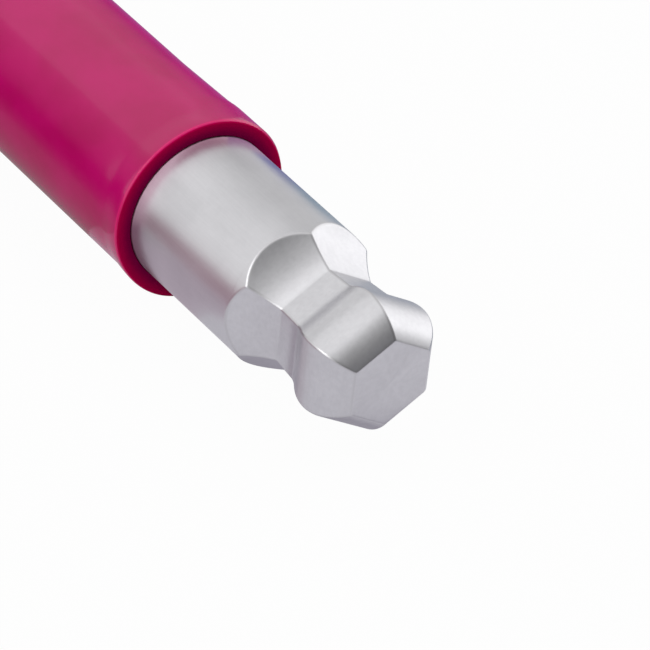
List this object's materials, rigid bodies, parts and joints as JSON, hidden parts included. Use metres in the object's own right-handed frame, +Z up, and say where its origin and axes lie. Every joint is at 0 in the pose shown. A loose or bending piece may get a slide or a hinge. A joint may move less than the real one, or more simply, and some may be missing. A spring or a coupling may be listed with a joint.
{
  "type": "ball-end hex key",
  "caption": "L-shaped hexagon key bent from a round satin steel bar, with a hexagon ball on the long arm, a plain hexagon on the short arm and a raspberry plastic sleeve.",
  "frame": {"origin": "middle of the key's box, on the surface that the key lies on, under the two lips of the sleeve", "axes": "the key lies flat: +X along the long arm towards the ball, +Y along the short arm, +Z up"},
  "size_m": [0.209, 0.045, 0.0121],
  "materials": {
    "steel": "satin stainless steel, finely ground bar with milled flats",
    "sleeve": "raspberry shrink-on plastic with a soft gloss"
  },
  "bodies": {
    "root": {"hex_key": "steel", "grip_sleeve": "sleeve"}
  },
  "joints": []
}
